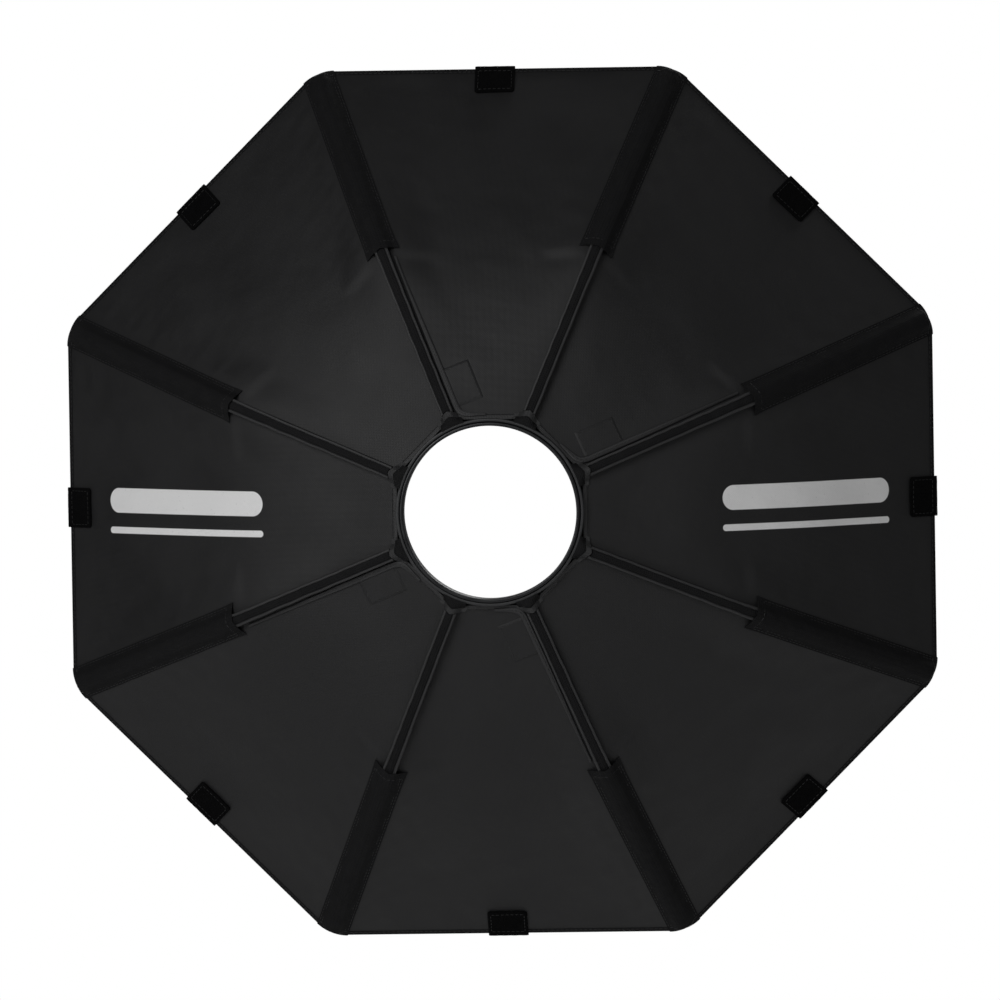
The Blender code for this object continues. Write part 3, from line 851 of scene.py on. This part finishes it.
def rod_sleeve(corner):
    """The narrow sleeve and the two rolled edges along it."""
    radius, aside = np.broadcast_arrays(np.linspace(sleeve_start, mouth + 0.0035, 90)[:, None],
                                        sleeve_profile[None, :, 0])
    run = run_length(radius)
    pucker = 1.0 - smooth(np.abs(aside), 0.0030, 0.0042)
    high = sleeve_profile[None, :, 1] + 0.00025 * pucker * ripples(aside, run, 900 + corner, 0.014, 5)
    # The sleeve's dark webbing is painted shade over the rod, between the lighter rolled edges.
    sleeve = shell(f"rod_sleeve_{corner}", rib_point(corner, radius, aside, high),
                   rib_point(corner, radius, aside, high - webbing_thick), np.stack([aside, run], axis=-1),
                   webbing_and_painted_shade)
    carry(sleeve, f"rib_{corner}")

    rows = np.linspace(sleeve_start - 0.0006, mouth - 0.0008, 70)
    turn = np.linspace(0.0, 2 * math.pi, 10, endpoint=False)
    for side, label in ((-1, "a"), (1, "b")):
        sway = 0.00018 * ripples(rows, rows, 950 + corner + 10 * side, 0.020, 4)
        aside = side * (bead_aside + bead_size * np.cos(turn)[None, :]) + sway[:, None]
        high = np.broadcast_to(bead_high + bead_size * np.sin(turn)[None, :], aside.shape)
        radius = np.broadcast_to(rows[:, None], aside.shape)
        uv = np.stack(np.broadcast_arrays(turn[None, :] * bead_size, run_length(rows)[:, None]), axis=-1)
        bead = loft(f"sleeve_edge_{corner}{label}", rib_point(corner, radius, aside, high), binding_tape, uv)
        carry(bead, f"rib_{corner}")


def rod_pocket(corner):
    """The wide pocket: puckered webbing, hemmed at its mouth and turned in over the rim."""
    half = pocket_half * (1.0 + 0.05 * np.exp(-(pocket_rows - mouth) / 0.010))
    radius, aside = np.broadcast_arrays(pocket_rows[:, None], half[:, None] * np.linspace(-1.0, 1.0, 61)[None, :])
    run = run_length(radius)
    rise, set_back = pocket_form(radius, aside)
    hem = 0.00035 * (1.0 - smooth(radius, mouth + 0.0052, mouth + 0.0060))
    puckers = 0.6 * ripples(aside, run, 500 + corner, 0.017, 7) + 0.4 * ripples(aside, run, 550 + corner, 0.007, 7)
    loose = smooth(pocket_half - np.abs(aside), 0.0008, 0.0040) * smooth(rim_radius - radius, 0.001, 0.008)
    high = pocket_base + rise + hem + (0.0006 + 0.00085 * puckers) * loose
    outer = [rib_point(corner, set_back, aside, high)]
    inner = [rib_point(corner, set_back, aside, high - webbing_thick)]
    last = aside[-1:]
    for step, out_lift, in_lift in turned_in:
        ring = np.full(last.shape, rim_radius + step)
        inward = np.full(last.shape, rim_radius + min(step, 0.0003))
        outer.append(rib_point(corner, ring, last, np.full(last.shape, out_lift)))
        inner.append(rib_point(corner, inward, last, np.full(last.shape, in_lift)))
    beyond = np.cumsum(np.full(len(turned_in), 0.0012))[:, None] + run[-1:]
    uv = np.stack([np.concatenate([aside] + [last] * len(turned_in)), np.concatenate([run, beyond])], axis=-1)
    pocket = shell(f"rod_pocket_cloth_{corner}", np.concatenate(outer), np.concatenate(inner), uv, webbing_and_painted_shade)
    carry(pocket, f"rib_{corner}")
    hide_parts(f"rod_pocket_{corner}")


def pocket_seams(corner):
    """Two rows of stitches along each edge of a pocket, and one across each of its ends."""
    stitches = []
    line = np.linspace(mouth + 0.002, rim_radius - 0.004, 60)
    for side, number in ((-1, (corner - 2) % sides + 1), (1, corner)):
        for inset in (0.0013, 0.0031):
            height = pocket_base + 0.0004 * smooth(inset, 0.0008, 0.0040) + stitch_proud
            spots = rib_point(corner, line, np.full(60, side * (pocket_half - inset)), np.full(60, height))
            stitches.append(seam(spots, side_normal(number, line)))
    across = np.linspace(-1.0, 1.0, 30) * (pocket_half - 0.0013)
    puffed = 0.0004 * smooth(pocket_half - np.abs(across), 0.0008, 0.0040)
    for row, puff in ((mouth + 0.0046, puffed), (rim_radius - 0.0034, 0.0)):
        rise, near = pocket_form(np.full(30, row), across)
        height = pocket_base + rise + 0.00035 + stitch_proud + puff
        stitches.append(seam(rib_point(corner, near, across, height), np.tile(-optical, (30, 1))))
    carry(sew(f"pocket_stitches_{corner}", stitches, thread), f"rib_{corner}")


def seam_tape(corner):
    """The silver tape that covers a rib's seam inside the box."""
    radius, aside = np.broadcast_arrays(np.linspace(cloth_start + 0.004, rim_radius - 0.009, 70)[:, None],
                                        np.linspace(-0.0085, 0.0085, 9)[None, :])
    run = run_length(radius)
    low = np.full(radius.shape, -0.00068) - 0.00012 * (ripples(aside, run, 700 + corner, 0.02, 5) + 1)
    cover = shell(f"silver_seam_tape_{corner}", rib_point(corner, radius, aside, low),
                  rib_point(corner, radius, aside, low - 0.0003), np.stack([aside, run], axis=-1), lining)
    carry(cover, f"rib_{corner}")


sleeve_start = cloth_start + 0.0030
pocket_rows = np.concatenate([np.linspace(mouth, rim_radius - 0.008, 84),
                              np.linspace(rim_radius - 0.0076, rim_radius, 14)])
# Each step of the turned-in end: how far past the rim, and the lifts of its outer and inner faces.
turned_in = ((0.0005, 0.0011, 0.0006), (0.0009, 0.0002, 0.0002), (0.0007, -0.0009, -0.0004),
             (-0.0030, -0.0014, -0.0008), (-0.0060, -0.0014, -0.0008))
for corner in range(1, sides + 1):
    rod_sleeve(corner)
    rod_pocket(corner)
    pocket_seams(corner)
    seam_tape(corner)


# ---- Bound edges ----
# A folded tape binds the rim and the octagonal edge round the hub. On four sides the cloth is an opening
# flap: there its binding turns the hub's corner in a curve and runs up beside the rod.
flaps = ((1, False), (2, True), (5, False), (6, True))
arch_foot = 0.0085


def fold_section(reach, past, half, thick):
    """A tape folded round an edge, as (aside, lift) pairs; aside 0 is the edge and grows beyond it."""
    turn = np.radians(np.linspace(90.0, -90.0, 7))
    outer = [(-reach, half + thick)] + [(past * math.cos(a), (half + thick) * math.sin(a)) for a in turn]
    inner = [((past - thick) * math.cos(a), half * math.sin(a)) for a in turn[::-1]]
    return np.array(outer + [(-reach, -half - thick), (-reach, -half)] + inner + [(-reach, half)])


def straight(start, end, run, count):
    """A flat path at a constant run, from one distance across to another."""
    return np.stack([np.linspace(start, end, count), np.full(count, run)], axis=1)


def rod_path(second, start_run, end_run, gap, count):
    """A flat path beside a rod at a gap from its line, up from one run to another."""
    run = np.linspace(start_run, end_run, count)
    across = half_side(radius_at(run)) - gap / math.cos(math.atan(math.tan(half_step) * 0.95))
    return np.stack([across if second else -across, run], axis=1)


def rounded(path, reach):
    """The path with its corners rounded: every point is averaged with its neighbours over a distance."""
    run = np.concatenate([[0.0], np.cumsum(np.linalg.norm(np.diff(path, axis=0), axis=1))])
    even = np.linspace(0.0, run[-1], int(run[-1] / 0.0008) + 2)
    place = np.stack([np.interp(even, run, path[:, k]) for k in (0, 1)], axis=1)
    for _ in range(2):
        window = max(3, int(reach / 0.0008) | 1)
        padded = np.concatenate([2 * place[:1] - place[window // 2 : 0 : -1], place,
                                 2 * place[-1:] - place[-2 : -2 - window // 2 : -1]])
        place = np.stack([np.convolve(padded[:, k], np.ones(window) / window, mode="valid") for k in (0, 1)], axis=1)
    return place


rim_section = fold_section(0.0034, 0.0005, cloth_half + 0.00002, 0.00028)
hub_section = fold_section(0.0021, 0.0016, cloth_half + 0.0001, 0.0007)
flap_section = strip_section(0.0021, 0.00075, 0.0023, 0.0007)
for number in range(1, sides + 1):
    for second in (False, True):
        way = 1 if second else -1
        label = f"{number}{'b' if second else 'a'}"
        corner_across = way * float(half_side(np.array([rim_radius]))[0])
        rim_path = straight(0.0, corner_across - way * 0.00006, whole_run, 110)
        rim = tape(f"rim_binding_{label}", number, second, rim_path, rim_section * (way, 1), webbing_and_painted_shade,
                   mitred=True)
        hub_half = float(half_side(np.array([cloth_start]))[0])
        hub_path = straight(0.0, way * (hub_half - arch_foot), 0.0, 40)
        hub = tape(f"hub_binding_{label}", number, second, hub_path, hub_section * (way, 1), binding_tape)
        rim_line = straight(0.0, corner_across - way * 0.013, whole_run - 0.0026, 60)
        hub_line = straight(0.0, way * (hub_half - arch_foot), 0.0012, 30)
        stitches = [surface_seam(number, rim_line, 0.00095), surface_seam(number, hub_line, 0.00146)]
        if (number, second) in flaps:
            up = rod_path(second, 0.0013, 0.115, 0.0068, 80)
            hub_run = straight(way * 0.002, up[0, 0], 0.0013, 20)
            route = rounded(np.concatenate([hub_run[:-1], up]), 0.0105)
            share = np.linspace(0.0, 1.0, len(route))
            widths = 0.45 + 0.55 * (1.0 - smooth(share, 0.30, 0.95)) * smooth(share, 0.0, 0.12)
            flap = tape(f"flap_edge_{label}", number, second, route, flap_section, binding_tape, widths)
            stitches.append(surface_seam(number, route[4:-6], 0.00238))
        sew_side(f"edge_stitches_{label}", stitches, number, second)

# Where a rod passes under the hub's bound edge, the tape arches over it and a hood of black webbing covers its
# hinge: a dark sheet that is also painted shade, standing in for the shade in the gap beside the ring. Behind them a
# collar of black cloth, silver inside, closes the gap from the fixed ring to the gores.
arch_rows = np.linspace(-0.0100, 0.0100, 41)
arch_rise = (rod_lift + 0.0022) * (1.0 - np.clip(np.abs(arch_rows) / 0.0070, 0.0, 1.0) ** 2.4) ** 1.6
arch_section = strip_section(1.0, -0.0005, 0.0005, 0.0004)
arch_inner, arch_outer = cloth_start - 0.0016, cloth_start + 0.0022
hood_aside = np.linspace(-0.0082, 0.0082, 33)
hood_rise = np.interp(hood_aside, arch_rows, arch_rise) + 0.0003
collar_turn = np.linspace(-half_step, half_step, 41)
collar_back, collar_reach = 0.0102, cloth_start + 0.0035
bridge_depth, bridge_bulge = 0.009, 0.0012


def bridge(name, corner, start, end, bulge, thick, width, steps, *materials):
    """A cloth sheet over a hinge, between a row of points on the hub and one on the rib."""
    share = np.linspace(0.0, 1.0, steps)[:, None, None]
    sheet = start[None] * (1.0 - share) + end[None] * share + optical * (bulge * np.sin(math.pi * share))
    uv = np.stack(np.broadcast_arrays(width[None, :], bridge_depth * share[..., 0]), axis=-1)
    made = shell(name, sheet - optical * thick, sheet + optical * thick, uv, *materials)
    follow(made, np.broadcast_to(share[..., 0], sheet.shape[:2]), "hub", f"rib_{corner}")
    return made


for corner in range(1, sides + 1):
    beside = (arch_inner + arch_outer) / 2 + (arch_outer - arch_inner) / 2 * arch_section[None, :, 0]
    radius, aside, high = np.broadcast_arrays(beside, arch_rows[:, None],
                                              0.00125 + arch_rise[:, None] + arch_section[None, :, 1])
    arch = loft(f"hub_edge_arch_{corner}", rib_point(corner, radius, aside, high), binding_tape,
                np.stack(np.broadcast_arrays(arch_section[None, :, 0], arch_rows[:, None]), axis=-1))
    carry(arch, f"rib_{corner}")

    reach = np.sqrt((socket_outer - 0.0004) ** 2 - hood_aside**2)
    start = reach[:, None] * radial(corner_angle(corner)) + hood_aside[:, None] * tangent(corner_angle(corner))
    end = rib_point(corner, np.full(33, cloth_start + 0.0006), hood_aside, hood_rise)
    # The hood's dark webbing is painted shade for the shaded gap between the ring and the cloth.
    hood = bridge(f"hinge_shade_hood_{corner}", corner, start - 0.0004 * optical, end, -bridge_bulge, 0.00025, hood_aside,
                  13, webbing_and_painted_shade)

    turn = corner_angle(corner) + collar_turn
    ring = np.stack([np.cos(turn), np.zeros(41), np.sin(turn)], axis=-1)
    flat = collar_reach * math.cos(half_step) / np.cos(half_step - np.abs(collar_turn))
    _, height = cloth_line(np.array([collar_reach]))
    end = ring * flat[:, None] + optical * (height[0] + cloth_half + 0.0008)
    collar = bridge(f"hub_collar_{corner}", corner, ring * (socket_outer - 0.0007) + optical * collar_back, end,
                    bridge_bulge, 0.0003, collar_turn * 0.07, 7, nylon_cloth, lining)


# ---- Rim tabs and stitched patches ----
# Each tab is loop tape folded over the rim and box-stitched: a dense, dead black pile. The patches are the
# flaps' hook squares, sewn behind a layer of the same cloth, so only their stitching shows.
def loop_pile():
    """Knitted nylon loops: millimetre-deep black pile that swallows light, with paler tips here and there."""
    material, tree = new_material("black_loop_pile", Roughness=1.0, Specular_IOR_Level=0.05)
    place = add_node(tree, "TexCoord", output="Object")
    nap = add_node(tree, "TexNoise", {"Vector": place, "Scale": 160.0, "Detail": 6.0, "Roughness": 0.7})
    loops = add_node(tree, "TexVoronoi", {"Vector": place, "Scale": 900.0})
    tint = add_node(tree, "Mix", {"Factor": nap, 6: "#050505", 7: "#0e0e0f"}, 2, data_type="RGBA")
    return shaded(material, Base_Color=tint,
                  Normal=add_node(tree, "Bump", {"Height": loops, "Strength": 0.9, "Distance": 0.0008}))


pile = loop_pile()
tab_width, tab_depth, tab_thick = 0.0275, 0.0230, 0.0013
tab_low = cloth_half + 0.00035
tab_high = tab_low + tab_thick
tab_corner, tab_hem = 0.0016, 0.0022
patch_width, patch_length = 0.0195, 0.0290
patch_gap = sleeve_half + 0.0034
patch_hem = 0.0016
for number in range(1, sides + 1):
    turn = np.radians(np.linspace(90.0, -90.0, 11))
    leg = np.linspace(-tab_depth, -0.0004, 18)
    run_out, run_in = (np.concatenate([leg, 0.0006 + size * np.cos(turn) * 0.92, leg[::-1]])
                       for size in (tab_high, tab_low))
    lift_out, lift_in = (np.concatenate([np.full(18, size), size * np.sin(turn), np.full(18, -size)])
                         for size in (tab_high, tab_low))
    ends = np.minimum(np.abs(run_out + tab_depth), 0.002) / 0.002
    half = tab_width / 2 - tab_corner * (1.0 - np.sqrt(1.0 - (1.0 - ends) ** 2))
    columns = np.linspace(-1.0, 1.0, 31)
    across = half[:, None] * columns[None, :]
    dome = 0.55 + 0.45 * np.clip((1.0 - np.abs(columns)) * 14.0, 0.0, 1.0)[None, :] ** 0.5
    puff = 0.00018 * ripples(across, np.broadcast_to(run_out[:, None], across.shape), 1200 + number, 0.006, 7)
    low = np.broadcast_to(lift_in[:, None], across.shape)
    high = np.broadcast_to(lift_out[:, None], across.shape)
    way = np.sign(high)
    high = np.where(np.abs(high) > tab_low, way * tab_low + (high - way * tab_low) * dome, high) + puff * way
    radius_out, radius_in = (radius_at(np.broadcast_to((whole_run + run)[:, None], across.shape))
                             for run in (run_out, run_in))
    uv = np.stack([across, np.broadcast_to(np.arange(len(run_out))[:, None] * 0.001, across.shape)], axis=-1)
    tab = shell(f"rim_tab_pile_{number}", gore_point(number, radius_out, across, high),
                gore_point(number, radius_in, across, low), uv, pile)
    carry(tab, f"tab_{number}")
    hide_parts(f"rim_tab_{number}")
    inside = tab_width / 2 - tab_hem
    down = np.linspace(whole_run - tab_depth + 0.003, whole_run - 0.003, 14)
    box = [straight(-inside, inside, whole_run - tab_depth + 0.0024, 20),
           straight(inside, -inside, whole_run - 0.0030, 20),
           np.stack([np.full(14, -inside), down], axis=1), np.stack([np.full(14, inside), down], axis=1)]
    sewn = sew(f"tab_stitches_{number}", [surface_seam(number, line, tab_high + 0.00008) for line in box], tab_thread)
    carry(sewn, f"tab_{number}")

for number, second in flaps:
    way = 1 if second else -1
    ends = cloth_start + 0.0040 + np.array([0.0, patch_length])
    spot = np.stack([way * half_side(ends), run_length(ends)], axis=1)
    along = (spot[1] - spot[0]) / np.linalg.norm(spot[1] - spot[0])
    inward = np.array([-along[1], along[0]])
    inward *= -way * np.sign(inward[0])
    grid_u = np.linspace(0.0, patch_length, 30)[:, None, None]
    grid_w = np.linspace(0.0, patch_width, 21)[None, :, None]
    flat = spot[0] + along * grid_u + inward * (patch_gap + grid_w)
    radius = radius_at(flat[..., 1])
    border = np.minimum(np.minimum(grid_u, patch_length - grid_u), np.minimum(grid_w, patch_width - grid_w))[..., 0]
    high = 0.00070 + 0.00055 * smooth(border, 0.0, 0.0012)
    patch = shell(f"patch_cloth_{number}", gore_point(number, radius, flat[..., 0], high),
                  gore_point(number, radius, flat[..., 0], np.full(radius.shape, 0.00064)), flat, nylon_cloth)
    follow(patch, fold_share(radius, flat[..., 0]), *bodies_of(number, second))
    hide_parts(f"stitched_patch_{number}")
    far_u, far_w = patch_length - patch_hem, patch_width - patch_hem
    corners = np.array([(patch_hem, patch_hem), (far_u, patch_hem), (far_u, far_w), (patch_hem, far_w),
                        (patch_hem, patch_hem)])
    stitches = []
    for one, two in zip(corners[:-1], corners[1:]):
        t = np.linspace(0.0, 1.0, 16)[:, None]
        line = one * (1.0 - t) + two * t
        path = spot[0] + along * line[:, :1] + inward * (patch_gap + line[:, 1:])
        stitches.append(surface_seam(number, path, 0.00132))
    sew_side(f"patch_stitches_{number}", stitches, number, second)

bpy.context.view_layer.update()
